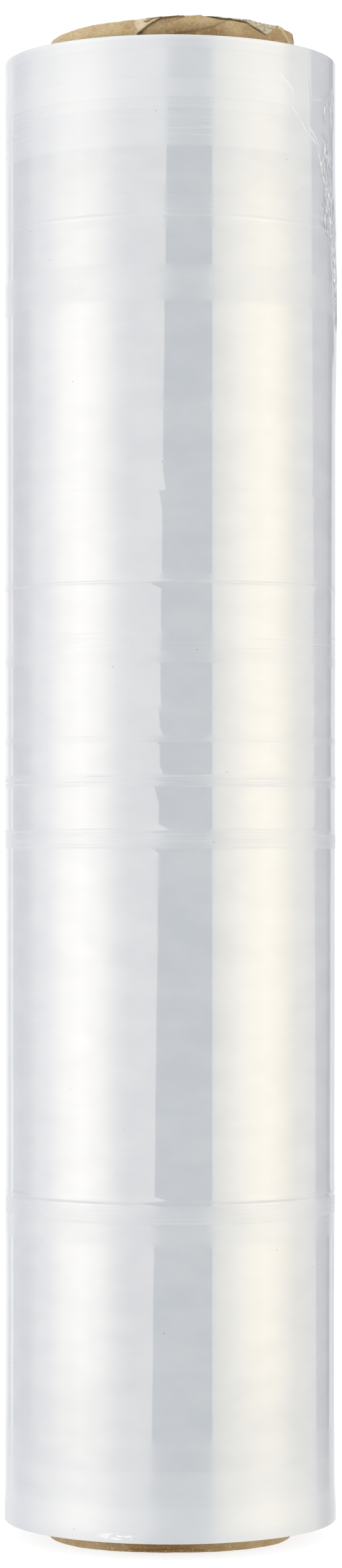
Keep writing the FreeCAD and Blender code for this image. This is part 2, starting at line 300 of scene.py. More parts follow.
def near_line(across, height, points, closed=False):
    """How far each place is from a line of points, and whether it is above that line."""
    nearest, above = np.full(across.shape, 1e9), np.zeros(across.shape, bool)
    path = points + points[:1] if closed else points
    for (start, low), (end, high) in zip(path, path[1:]):
        run, climb = end - start, high - low
        part = ((across - start) * run + (height - low) * climb) / (run * run + climb * climb)
        part = np.clip(part, 0, 1)
        gap = np.hypot(across - start - part * run, height - low - part * climb)
        over = run * (height - low) - climb * (across - start) > 0
        above = np.where(gap < nearest, over, above)
        nearest = np.minimum(nearest, gap)
    return nearest, above


def crease(across, height, line):
    """Relief of a crease in mm: strongest on its line, fading over its own width on each side."""
    points, rise, over, under = line
    gap, above = near_line(across, height, unrolled(points))
    return rise * np.exp(-((gap / np.where(above, over, under)) ** 2))


def within(across, height, corners, soft):
    """One inside a many-cornered patch and nothing outside it, with an edge as soft as given."""
    points = unrolled(corners)
    inside = np.zeros(across.shape, bool)
    for (start, low), (end, high) in zip(points, points[1:] + points[:1]):
        crosses = (low > height) != (high > height)
        meets = start + (height - low) * (end - start) / (high - low if high != low else 1e-9)
        inside ^= crosses & (across < meets)
    gap, above = near_line(across, height, points, closed=True)
    return np.clip(0.5 + np.where(inside, gap, -gap) / soft, 0, 1)


def grain(places, size, seed):
    """Smooth noise between -1 and 1 with lumps of about this size in mm, at each place in mm."""
    from mathutils import Vector, noise

    flat = places.reshape(-1, 3) / size + seed * 17.3
    values = [noise.fractal(Vector(place), 1.0, 2.0, 3) for place in flat.tolist()]
    return np.array(values).reshape(places.shape[:-1])


def tube_places(angles, radius, height):
    """Places on the tube, from angles to the right of the front in radians, radii and heights."""
    return np.stack([radius * np.sin(angles), -radius * np.cos(angles), height], axis=-1)


def make_core():
    """The tube as one closed skin: its outside, its top rim, its bore and its bottom rim."""
    fine = np.radians(np.linspace(-84, 97, 408, endpoint=False))
    coarse = np.radians(np.linspace(97, 276, 108, endpoint=False))
    angles = np.concatenate([fine, coarse])
    degrees = (np.degrees(angles) + 180) % 360 - 180
    rim = np.interp(degrees, *zip(*RIM))
    edge = np.stack([np.sin(angles) * 30, np.cos(angles) * 30, angles * 0], axis=-1)
    rim = rim + 0.12 * grain(edge, 1.4, 1) + 0.1 * grain(edge, 9.0, 2)
    foot = 0.12 + 0.1 * grain(edge, 6.0, 3) + 0.6 * np.exp(-((degrees / 42) ** 2))

    lower = np.linspace(0, 1, 19) ** 1.3
    upper = 1 - (1 - np.linspace(0, 1, 36)) ** 1.25
    plies = np.linspace(0, 1, 15)[1:-1]
    inner = np.linspace(0, 1, 46)
    one = np.ones_like(angles)
    rows, marks = [], []
    for t in lower:
        rows.append((CORE_OUTSIDE * one, foot * (1 - t) + 7.0 * t))
        marks.append(0)
    for t in (0.02, 0.3, 0.6, 0.98):
        rows.append((CORE_OUTSIDE * one, (7.0 + (CORE_FOLDED_TOP - 7.0) * t) * one))
        marks.append(0)
    for t in upper:
        rows.append((CORE_OUTSIDE * one, CORE_FOLDED_TOP + (rim - CORE_FOLDED_TOP) * t))
        marks.append(0)
    for t in plies:
        ragged = 0.22 * grain(edge + t * 40, 2.2, 4) - 0.25 * (2 * t - 1) ** 4
        rows.append((CORE_OUTSIDE + (CORE_BORE - CORE_OUTSIDE) * t * one, rim + ragged))
        marks.append(1)
    for t in inner:
        rows.append((CORE_BORE * one, (rim - 0.35) * (1 - t) + (foot + 0.3) * t))
        marks.append(0)
    for t in plies:
        ragged = 0.12 * grain(edge + t * 40, 2.2, 5) + 0.2 * (2 * t - 1) ** 4
        rows.append((CORE_BORE + (CORE_OUTSIDE - CORE_BORE) * t * one, foot + np.abs(ragged)))
        marks.append(1)
    radius = np.array([row[0] for row in rows])
    height = np.array([row[1] for row in rows])
    turn = np.broadcast_to(angles, radius.shape)
    around = np.broadcast_to(np.radians(degrees), radius.shape)
    across = around * CORE_OUTSIDE
    outside = np.clip((radius - CORE_BORE) / (CORE_OUTSIDE - CORE_BORE), 0, 1)

    # Relief of the outer ply, which fades out through the wall.
    ragged = grain(tube_places(turn, radius, height), 1.1, 11)
    torn = within(across + 0.25 * ragged, height, TORN_AWAY, 0.3)
    frayed = within(across + 0.7 * ragged, height + 0.35 * ragged, FRAYED, 0.4)
    swell = 0.9 * np.exp(-(((across - 8.5) / 8.0) ** 2) - ((height - 513.6) / 1.7) ** 2)
    hollow = -0.5 * np.exp(-(((across - 6.0) / 11.0) ** 2) - ((height - 509.6) / 1.1) ** 2)
    nub = np.exp(-(((across - 65.0) / 3.0) ** 2) - ((height - 514.0) / 1.1) ** 2)
    flare = 0.7 * np.exp(-(((across - 63) / 8) ** 2)) * np.clip((height - 506.8) / 1.5, 0, 1)
    relief = swell + hollow + 0.35 * nub + flare - PLY * torn
    for line in (FOLD, FOLD_CREASE, BULGE_CREASE, TEAR, CORNER_CREASE, LOWER_CREASE, LOWER_SCRATCH):
        relief = relief + crease(across, height, line)
    places = tube_places(turn, radius, height)
    crumpled = np.exp(-(((across - 8) / 14) ** 2)) * (height > 507) + 0.15
    relief = relief + 0.1 * crumpled * grain(places, 2.6, 6) + 0.03 * grain(places, 0.7, 7)
    relief = relief + frayed * (0.5 * grain(places, 0.8, 8) - 0.35)
    lean = -0.4 * np.clip((height - 511.5) / 3, 0, 1) * np.exp(-(((across + 55) / 26) ** 2))
    wrap = (across + height * 1.1) % 104.0
    seam = -0.35 * np.exp(-(((wrap - 52) / 0.5) ** 2)) * (outside < 0.01)
    radius = radius + (relief + lean) * outside + seam + 0.04 * grain(places, 5.0, 9)
    places = tube_places(turn, radius, height) * MM

    # Darker marks: painted shade in the tear's gap, along the fold's groove, the bulge crease and the lower crease,
    # and under the fold and at its lower end; the nub is darker too, and the pits are dark specks.
    tear_gap, above = near_line(across, height, unrolled(TEAR[0]))
    under_fold, above = near_line(across, height, unrolled(FOLD[0]))
    dirt_and_shade = np.exp(-((tear_gap / 0.32) ** 2)) * outside
    dirt_and_shade = dirt_and_shade + 1.6 * np.exp(-(((across - 66) / 5.5) ** 2) - ((height - 514.9) / 1.1) ** 2) * outside
    dirt_and_shade = dirt_and_shade + 0.8 * np.exp(-(((across + 10.3) / 0.8) ** 2) - ((height - 509.5) / 0.5) ** 2)
    dirt_and_shade = dirt_and_shade + np.exp(-((under_fold / 0.4) ** 2)) * (~above) * outside * (height > 300)
    # Paler kraft: a painted highlight along the top of the fold strip and beside the corner crease, and real scuffs
    # along the rim's edge.
    worn = 0.9 * np.exp(-(((under_fold - 0.6) / 0.3) ** 2)) * above * (height > 300)
    nearest, above = near_line(across, height, unrolled(FOLD_GROOVE))
    dirt_and_shade = dirt_and_shade + 0.9 * np.exp(-((nearest / 0.32) ** 2)) * outside
    nearest, above = near_line(across, height, unrolled(CORNER_CREASE[0]))
    worn = worn + 0.6 * np.exp(-((nearest / np.where(above, 1.6, 0.2)) ** 2)) * (height > 300)
    nearest, above = near_line(across, height, unrolled(BULGE_CREASE[0]))
    dirt_and_shade = dirt_and_shade + 0.28 * np.exp(-((nearest / 0.2) ** 2)) * (height > 300) * outside
    worn = worn + 0.5 * np.exp(-(((rim - height) / 0.25) ** 2))
    nearest, above = near_line(across, height, unrolled(LOWER_CREASE[0]))
    dirt_and_shade = dirt_and_shade + 0.45 * np.exp(-((nearest / 0.22) ** 2)) * outside * (height < 100)
    # Painted shade: darker towards the film at the top of the foot, and just above the film's top.
    dirt_and_shade = dirt_and_shade + 0.4 * np.clip((height - 2.5) / 2, 0, 1) * (height < 100) * outside
    dirt_and_shade = dirt_and_shade + 0.3 * np.clip((511.0 - height) / 2, 0, 1) * (height > 300) * outside
    # Broad darker brown: painted shade in the hollow under the bulge, and painted highlights on the bulge and beside
    # the nub; besides that it is darker brown towards the right of the top, with a few lighter and darker patches,
    # and darker at the foot, most at its front.
    brown_and_shade = 0.52 * np.clip((across + 20) / 18, 0, 1) - 0.25 * np.exp(-(((across - 23) / 4) ** 2))
    brown_and_shade = brown_and_shade - 0.4 * swell - 0.5 * hollow - 0.3 * np.exp(-(((across - 62) / 5) ** 2))
    brown_and_shade = brown_and_shade + 0.25 * np.exp(-(((across - 15) / 4.5) ** 2) - ((height - 511.5) / 1.5) ** 2)
    brown_and_shade = brown_and_shade * np.clip((180 - np.abs(degrees)) / 60, 0, 1)
    upper = np.clip((height - 480) / 20, 0, 1)
    front = np.exp(-(((across + 2) / 20) ** 2))
    brown_and_shade = brown_and_shade * upper + (0.32 + 0.6 * front) * (height < 100)
    pits = np.clip(grain(places / MM, 1.1, 10) * 3 - 1.5, 0, 1) * np.exp(-(((across + 8) / 14) ** 2))
    dirt_and_shade = dirt_and_shade + 0.5 * pits * outside
    layers, count = radius.shape
    index = np.arange(layers * count).reshape(layers, count)
    up, over = np.roll(index, -1, axis=0), np.roll(index, -1, axis=1)
    faces = np.stack([index, over, np.roll(up, -1, axis=1), up], axis=-1).reshape(-1, 4)
    mesh = bpy.data.meshes.new("core_tube")
    mesh.from_pydata(places.reshape(-1, 3).tolist(), [], faces.tolist())
    mesh.shade_smooth()
    on_rim = np.broadcast_to(np.array(marks, float)[:, None], radius.shape)
    for name, values in (
        ("torn", np.clip(torn * outside, 0, 1)),
        ("frayed", np.clip(frayed * outside, 0, 1)),
        ("dirt_and_shade", np.clip(dirt_and_shade, 0, 1)),
        ("brown_and_shade", np.clip(brown_and_shade * outside, 0, 1)),
        ("worn", np.clip(worn * outside, 0, 1)),
        ("cut_rim", on_rim),
    ):
        layer = mesh.attributes.new(name, "FLOAT", "POINT")
        layer.data.foreach_set("value", np.ascontiguousarray(values, dtype=np.float32).ravel())
    made = bpy.data.objects.new("core_tube", mesh)
    bpy.context.scene.collection.objects.link(made)
    return made


# Kraft board, calendered on the outside: matt brown paper with a faint sheen, pale and woolly where it is torn, with
# short fibres and darker specks of bark. Its tear, creases, groove and fold carry painted shade.
KRAFT, KRAFT_PALE, KRAFT_DARK = "#CAB188", "#D9C7A2", "#A58A5E"
KRAFT_SHADE_BROWN = "#805B29"
TORN_PAPER, FIBRE_WHITE, DIRT_AND_SHADE = "#E0D0B2", "#D3C8B0", "#432F17"


def kraft_material():
    kraft = bpy.data.materials.new("calendered kraft board")
    kraft.use_nodes = True
    tree = kraft.node_tree
    shader = tree.nodes["Principled BSDF"]
    shader.inputs["Specular IOR Level"].default_value = 0.3
    place = add(tree, "ShaderNodeTexCoord").outputs["Object"]
    marks = {
        name: add(tree, "ShaderNodeAttribute", attribute_name=name).outputs["Fac"]
        for name in ("torn", "frayed", "dirt_and_shade", "brown_and_shade", "worn", "cut_rim")
    }

    # Clouds of paler and darker pulp, about 5 mm across.
    pulp = add(tree, "ShaderNodeTexNoise", {"Vector": place, "Scale": 1 / 0.005, "Detail": 5.0}).outputs[0]
    pale = add(tree, "ShaderNodeMapRange", {0: pulp, 1: 0.46, 2: 0.74, 3: 0.0, 4: 0.6}).outputs[0]
    dark = add(tree, "ShaderNodeMapRange", {0: pulp, 1: 0.46, 2: 0.22, 3: 0.0, 4: 0.5}).outputs[0]
    colour = add(tree, "ShaderNodeMix", {0: pale, 6: linear(KRAFT), 7: linear(KRAFT_PALE)}, data_type="RGBA")
    colour = add(
        tree, "ShaderNodeMix", {0: dark, 6: colour.outputs[2], 7: linear(KRAFT_DARK)}, data_type="RGBA"
    )

    # Fibres 0.4 mm wide and 2 mm long, drawn coarser than real ones so that they show.
    lie = add(tree, "ShaderNodeMapping", {0: place, 3: (1 / 0.0012, 1 / 0.0012, 1 / 0.0004)}).outputs[0]
    fibres = add(tree, "ShaderNodeTexNoise", {"Vector": lie, "Scale": 1.0, "Detail": 4.0}).outputs[0]
    streak = add(tree, "ShaderNodeMapRange", {0: fibres, 1: 0.35, 2: 0.65, 3: 0.87, 4: 1.1}).outputs[0]
    colour = add(tree, "ShaderNodeVectorMath", {0: colour.outputs[2], 3: streak}, operation="SCALE")
    specks = add(tree, "ShaderNodeTexVoronoi", {"Vector": place, "Scale": 1 / 0.0016}).outputs["Distance"]
    specks = add(tree, "ShaderNodeMapRange", {0: specks, 1: 0.16, 2: 0.08}).outputs[0]
    few = add(tree, "ShaderNodeTexNoise", {"Vector": place, "Scale": 1 / 0.006}).outputs[0]
    few = add(tree, "ShaderNodeMapRange", {0: few, 1: 0.5, 2: 0.6, 3: 0.0, 4: 0.6}).outputs[0]
    specks = add(tree, "ShaderNodeMath", {0: specks, 1: few}, operation="MULTIPLY").outputs[0]
    colour = colour.outputs[0]

    # Its face is scuffed pale in flecks 0.5 mm wide.
    scuffs = add(tree, "ShaderNodeTexNoise", {"Vector": place, "Scale": 1 / 0.0009, "Detail": 3.0}).outputs[0]
    scuffs = add(tree, "ShaderNodeMapRange", {0: scuffs, 1: 0.52, 2: 0.74, 3: 0.0, 4: 0.42}).outputs[0]
    # The broad darker brown mixed in here is partly painted shade, and the paler marks include painted highlights on
    # the fold strip and beside the corner crease.
    for amount, shade in (
        (marks["brown_and_shade"], KRAFT_SHADE_BROWN),
        (scuffs, KRAFT_PALE),
        (marks["worn"], KRAFT_PALE),
        (specks, DIRT_AND_SHADE),
        (marks["torn"], TORN_PAPER),
        (marks["frayed"], FIBRE_WHITE),
    ):
        colour = add(
            tree, "ShaderNodeMix", {0: amount, 6: colour, 7: linear(shade)}, data_type="RGBA"
        ).outputs[2]

    # Between the torn fibres lie small shaded pits, 1 mm long.
    strewn = add(tree, "ShaderNodeMapping", {0: place, 3: (1 / 0.0014, 1 / 0.0014, 1 / 0.0006)}).outputs[0]
    pits = add(tree, "ShaderNodeTexNoise", {"Vector": strewn, "Scale": 1.0, "Detail": 4.0}).outputs[0]
    pits = add(tree, "ShaderNodeMapRange", {0: pits, 1: 0.46, 2: 0.66, 3: 0.0, 4: 0.6}).outputs[0]
    pits = add(tree, "ShaderNodeMath", {0: pits, 1: marks["frayed"]}, operation="MULTIPLY").outputs[0]
    colour = add(
        tree, "ShaderNodeMix", {0: pits, 6: colour, 7: linear(DIRT_AND_SHADE)}, data_type="RGBA"
    ).outputs[2]

    # The cut rims show the plies as thin dark glue lines.
    flat = add(tree, "ShaderNodeVectorMath", {0: place, 1: (1.0, 1.0, 0.0)}, operation="MULTIPLY").outputs[0]
    out = add(tree, "ShaderNodeVectorMath", {0: flat}, operation="LENGTH").outputs["Value"]
    ply = add(tree, "ShaderNodeMath", {0: out, 1: 1 / (PLY * MM)}, operation="MULTIPLY").outputs[0]
    ply = add(tree, "ShaderNodeMath", {0: ply, 1: 1.0}, operation="PINGPONG").outputs[0]
    glue = add(tree, "ShaderNodeMapRange", {0: ply, 1: 0.22, 2: 0.05, 3: 0.0, 4: 0.6}).outputs[0]
    glue = add(tree, "ShaderNodeMath", {0: glue, 1: marks["cut_rim"]}, operation="MULTIPLY").outputs[0]
    colour = add(tree, "ShaderNodeMix", {0: glue, 6: colour, 7: linear(KRAFT_DARK)}, data_type="RGBA")
    # Painted shade in the tear, creases, groove, under the fold and next to the film, along with the darker nub and
    # pits, darkens the colour here.
    shade_and_dirt = add(tree, "ShaderNodeMath", {0: marks["dirt_and_shade"], 1: 0.85}, operation="MULTIPLY").outputs[0]
    colour = add(tree, "ShaderNodeMix", {0: shade_and_dirt, 6: colour.outputs[2], 7: linear(DIRT_AND_SHADE)}, data_type="RGBA")
    tree.links.new(colour.outputs[2], shader.inputs["Base Color"])
    rough = add(tree, "ShaderNodeMapRange", {0: fibres, 1: 0.3, 2: 0.7, 3: 0.62, 4: 0.85}).outputs[0]
    tree.links.new(rough, shader.inputs["Roughness"])
    felt = add(tree, "ShaderNodeTexNoise", {"Vector": place, "Scale": 1 / 0.0006, "Detail": 4.0}).outputs[0]
    felt = add(tree, "ShaderNodeMath", {0: felt, 1: fibres}, operation="ADD").outputs[0]
    bump = add(tree, "ShaderNodeBump", {"Strength": 0.5, "Distance": 0.12 * MM, "Height": felt})
    tree.links.new(bump.outputs[0], shader.inputs["Normal"])
    return kraft


kraft_board = kraft_material()
core_tube = make_core()
core_tube.data.materials.append(kraft_board)
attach(core_tube, "root")
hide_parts("core")

# Wound film: hundreds of turns of clear cast polyethylene, pulled tight on the tube. Small differences in its
# thickness add up to low, hazy rings round the roll, its two ends show the edges of the turns, and its loose
# end lies slack and creased at the upper right.

film_low, film_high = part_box("film_roll")
FILM_BASE, FILM_TOP = film_low.z / MM, film_high.z / MM
ROLL_RADIUS = 56.75
EDGE_ROUND = 0.25
FLARE, FLARE_RISE = 0.7, 14.0

# Rings: upper and lower edge in mm below the film's top, how soft these edges are and how far the ring rises
# in mm, and how hazy, how milky and how strongly lined the film is there.
RINGS = [
    (0.0, 1.5, 1.2, 0.0, 0.5, 0.8, 0.0),
    (0.0, 4.5, 1.0, 0.0, 0.5, 0.5, 0.0),
    (4.5, 14.0, 1.0, 0.0, 0.3, 0.5, 0.1),
    (14.0, 20.6, 0.6, 0.0, 0.5, 0.5, 0.0),
    (20.6, 24.6, 1.0, 0.0, 0.27, 0.35, 0.47),
    (24.6, 33.5, 1.5, 0.0, 0.22, 0.25, 0.56),
    (31.5, 36.5, 1.0, 0.0, 0.28, 0.25, 0.4),
    (49.6, 52.6, 0.8, 0.0, 0.1, 0.0, 0.3),
    (52.6, 59.0, 1.0, 0.0, 0.12, 0.03, 0.35),
    (59.4, 60.2, 0.15, 0.02, 0.36, 0.15, 0.0),
    (60.2, 64.0, 0.8, 0.0, 0.12, 0.0, 0.4),
    (76.0, 88.0, 1.4, 0.01, 0.4, 0.05, 0.12),
    (120.0, 124.6, 0.7, 0.0, 0.1, 0.0, 0.3),
    (150.5, 151.3, 0.3, 0.02, 0.12, 0.0, 0.2),
    (178.6, 180.7, 0.5, 0.0, 0.2, 0.0, 0.3),
    (180.7, 181.5, 0.15, 0.04, 0.38, 0.0, 0.4),
    (197.5, 203.5, 0.5, 0.01, 0.16, 0.0, 0.67),
    (204.0, 208.0, 0.5, 0.01, 0.34, 0.0, 0.2),
    (222.0, 224.2, 0.4, 0.01, 0.12, 0.0, 0.5),
    (231.9, 234.4, 0.4, 0.02, 0.34, 0.0, 0.35),
    (244.9, 247.1, 0.4, 0.03, 0.36, 0.0, 0.8),
    (247.3, 249.1, 0.2, 0.02, 0.42, 0.0, 0.9),
    (263.3, 264.3, 0.2, 0.04, 0.3, 0.0, 0.8),
    (264.5, 269.7, 0.2, 0.02, 0.46, 0.0, 0.5),
    (272.0, 286.0, 1.5, 0.0, 0.1, 0.0, 0.1),
    (386.2, 387.3, 0.2, 0.05, 0.28, 0.0, 0.5),
    (388.2, 394.3, 0.3, 0.02, 0.5, 0.0, 0.4),
    (394.3, 401.5, 1.2, 0.01, 0.32, 0.0, 0.2),
    (466.0, 476.0, 2.0, 0.0, 0.28, 0.1, 0.05),
    (476.0, 486.5, 2.0, 0.0, 0.36, 0.26, 0.05),
    (484.8, 489.5, 1.0, 0.0, 0.4, 0.35, 0.0),
    (487.8, 500.0, 2.0, 0.0, 0.51, 0.47, 0.0),
]

# Creases of the loose end: degrees right of the front and mm below the film's top, rise and width in mm.
TAIL_CREASES = [
    ([(40.2, 10.1), (41.9, 11.3), (44.5, 13.1), (46.4, 14.9), (47.0, 17.7), (46.1, 19.9)], 0.05, 0.4),
    ([(45.7, 20.4), (48.9, 22.9), (51.3, 25.3), (54.2, 28.0), (58.7, 30.1), (61.9, 32.8)], 0.09, 0.3),
    (
        [(61.9, 32.8), (62.8, 35.2), (64.4, 37.9), (66.0, 41.0), (69.1, 44.3), (69.8, 48.5), (72.8, 52.0)],
        0.26,
        0.34,
    ),
    ([(72.8, 52.0), (75.0, 55.4), (74.5, 59.2), (78.0, 63.0), (79.5, 67.0), (82.0, 75.0), (83.0, 88.0)], 0.32, 0.42),
    ([(54.2, 4.0), (53.5, 7.2), (55.0, 13.3), (55.8, 19.9), (55.8, 25.7), (57.4, 28.0)], 0.07, 0.3),
    ([(56.2, 26.3), (60.0, 29.3), (63.3, 32.1), (64.4, 35.4), (67.4, 39.0)], 0.12, 0.3),
    ([(65.5, 28.9), (69.1, 30.8), (67.8, 33.4), (72.8, 34.7), (71.2, 37.7)], 0.22, 0.36),
    ([(67.8, 39.0), (72.0, 42.5), (71.0, 46.0), (76.0, 48.8), (77.5, 53.4), (79.5, 58.3)], 0.2, 0.36),
    ([(67.2, 21.5), (67.8, 18.2), (72.0, 15.8)], 0.2, 0.36),
    ([(76.5, 14.0), (74.5, 17.3), (76.5, 20.3)], 0.2, 0.36),
    ([(58.7, 16.7), (63.3, 16.2), (69.1, 16.1)], 0.1, 0.36),
    ([(59.1, 52.2), (64.4, 52.4), (70.5, 53.0)], 0.06, 0.4),
    ([(59.1, 55.6), (63.9, 55.6), (69.1, 55.9)], 0.07, 0.4),
    ([(60.0, 58.8), (64.4, 58.7), (69.8, 59.0)], 0.05, 0.4),
]
CRUMPLED = [(68.5, 36.0), (71.0, 41.5), (74.0, 47.0), (77.0, 56.0), (80.0, 70.0), (82.0, 84.0)]
SLACK_TURN, SLACK_DROP, SLACK_HALF_WIDTH, SLACK_HALF_HEIGHT, SLACK_LIFT = 90.0, 81.0, 15.0, 45.0, 0.45
FINE_FROM, FINE_TO = 39.0, 86.0
FINE_DROP = 86.0


def film_section():
    """The film's section as a mesh line, from its bore round its lower end, side and upper end."""
    height = FILM_TOP - FILM_BASE
    depths = [np.arange(EDGE_ROUND, FINE_DROP, 0.4), np.arange(FINE_DROP, height - EDGE_ROUND, 6.5)]
    for upper, lower, soft, lift, *look in RINGS:
        for edge in (upper, lower):
            if FINE_DROP < edge < height - 2:
                depths.append(edge + soft * np.array([-0.5, 0.5]))
    depth = np.unique(np.round(np.concatenate(depths), 2))
    depth = depth[(depth > EDGE_ROUND) & (depth < height - EDGE_ROUND)][::-1]
    rise, looks = np.zeros_like(depth), np.zeros((len(depth), 3))
    for upper, lower, soft, lift, *look in RINGS:
        inside = np.clip((depth - upper) / soft + 0.5, 0, 1) * np.clip((lower - depth) / soft + 0.5, 0, 1)
        inside = inside * inside * (3 - 2 * inside)
        rise = np.maximum(rise, lift * inside)
        looks = np.maximum(looks, np.outer(inside, look))
    swing = sum(np.sin(depth / size + size) for size in (5.3, 11.7, 29.0)) * 0.012
    foot = FLARE * np.clip(1 - (height - depth) / FLARE_RISE, 0, 1) ** 2.2
    radius = ROLL_RADIUS + rise + swing + foot

    bend = np.radians(np.linspace(0, 90, 7))
    on_end = (0.5, 0.5, 0.0)
    core = CORE_OUTSIDE - 0.02
    inward = np.linspace(0, 1, 19)[:-1]
    points = [(core, FILM_BASE, 0.0, 0.0, *on_end)]
    foot_edge = radius[0] - EDGE_ROUND
    top_edge = radius[-1] - EDGE_ROUND
    for t in inward[1:]:
        points.append((core + (foot_edge - core) * t, FILM_BASE, 0.0, 1.0, *on_end))
    for a in bend:
        out, up = EDGE_ROUND * math.sin(a), EDGE_ROUND * math.cos(a)
        points.append((foot_edge + out, FILM_BASE + EDGE_ROUND - up, 0.3, 0.0, *looks[0]))
    for place in range(len(depth)):
        points.append((radius[place], FILM_TOP - depth[place], 1.0, 0.0, *looks[place]))
    for a in bend[::-1]:
        out, up = EDGE_ROUND * math.sin(a), EDGE_ROUND * math.cos(a)
        points.append((top_edge + out, FILM_TOP - EDGE_ROUND + up, 0.3, 0.0, *looks[-1]))
    for t in inward[1:]:
        points.append((top_edge + (core - top_edge) * t, FILM_TOP, 0.0, 1.0, *on_end))
    for t in (0.0, 0.5, 1.0):
        points.append((core, FILM_TOP + (FILM_BASE - FILM_TOP) * t, 0.0, 0.0, *on_end))
    table = np.array(points)
    mesh = bpy.data.meshes.new("film_section")
    places = np.stack([table[:, 0], table[:, 0] * 0, table[:, 1]], axis=-1) * MM
    mesh.from_pydata(places.tolist(), [], [])
    for name, column in (("side", 2), ("end_face", 3), ("haze", 4), ("milk", 5), ("lined", 6)):
        layer = mesh.attributes.new(name, "FLOAT", "POINT")
        layer.data.foreach_set("value", table[:, column].astype(np.float32))
    return mesh


def crease_lines():
    """The lines of the loose end's creases, laid on the film, with their rise and width at each point."""
    places, edges, rises, widths = [], [], [], []
    for points, rise, width in TAIL_CREASES + [(CRUMPLED, 0.0, 1.0)]:
        turns, drops = zip(*points)
        steps = np.arange(0, len(points) - 0.99, 0.25)
        steps = steps[steps <= len(points) - 1]
        turns = np.radians(np.interp(steps, range(len(points)), turns))
        drops = np.interp(steps, range(len(points)), drops)
        for number, (turn, drop) in enumerate(zip(turns, drops)):
            if number:
                edges.append((len(places) - 1, len(places)))
            fade = min(1.0, 0.35 + 0.3 * number, 0.35 + 0.3 * (len(turns) - 1 - number))
            places.append(tube_places(turn, ROLL_RADIUS, FILM_TOP - drop) * MM)
            rises.append(rise * fade * MM)
            widths.append(width * MM)
    mesh = bpy.data.meshes.new("crease_lines")
    mesh.from_pydata([place.tolist() for place in places], edges, [])
    for name, values in (("rise", rises), ("width", widths)):
        mesh.attributes.new(name, "FLOAT", "POINT").data.foreach_set("value", values)
    made = bpy.data.objects.new("crease_lines", mesh)
    bpy.context.scene.collection.objects.link(made)
    return made


FILM_SIZES = {
    "Geometry": ("NodeSocketGeometry", None),
    "Creases": ("NodeSocketObject", None),
    "Columns": ("NodeSocketInt", 246),
    "Rows": ("NodeSocketInt", 2),
    "Fine From": ("NodeSocketFloat", math.radians(FINE_FROM)),
    "Fine To": ("NodeSocketFloat", math.radians(FINE_TO)),
    "Slack Turn": ("NodeSocketFloat", math.radians(SLACK_TURN)),
    "Slack Height": ("NodeSocketFloat", (FILM_TOP - SLACK_DROP) * MM),
    "Slack Half Angle": ("NodeSocketFloat", SLACK_HALF_WIDTH / ROLL_RADIUS),
    "Slack Half Height": ("NodeSocketFloat", SLACK_HALF_HEIGHT * MM),
    "Slack Lift": ("NodeSocketFloat", SLACK_LIFT * MM),
    "Crumple": ("NodeSocketFloat", 0.85 * MM),
    "Crumple Reach": ("NodeSocketFloat", 3.0 * MM),
    "Turn Depth": ("NodeSocketFloat", 0.5 * MM),
    "Seed": ("NodeSocketFloat", 4.0),
    "Material": ("NodeSocketMaterial", None),
}


def group_with(name, sizes):
    """An empty geometry tree with named inputs, and the sockets that give them."""
    group = bpy.data.node_groups.new(name, "GeometryNodeTree")
    for label, (kind, value) in sizes.items():
        socket = group.interface.new_socket(label, in_out="INPUT", socket_type=kind)
        if value is not None:
            socket.default_value = value
    group.interface.new_socket("Geometry", in_out="OUTPUT", socket_type="NodeSocketGeometry")
    return group, add(group, "NodeGroupInput").outputs


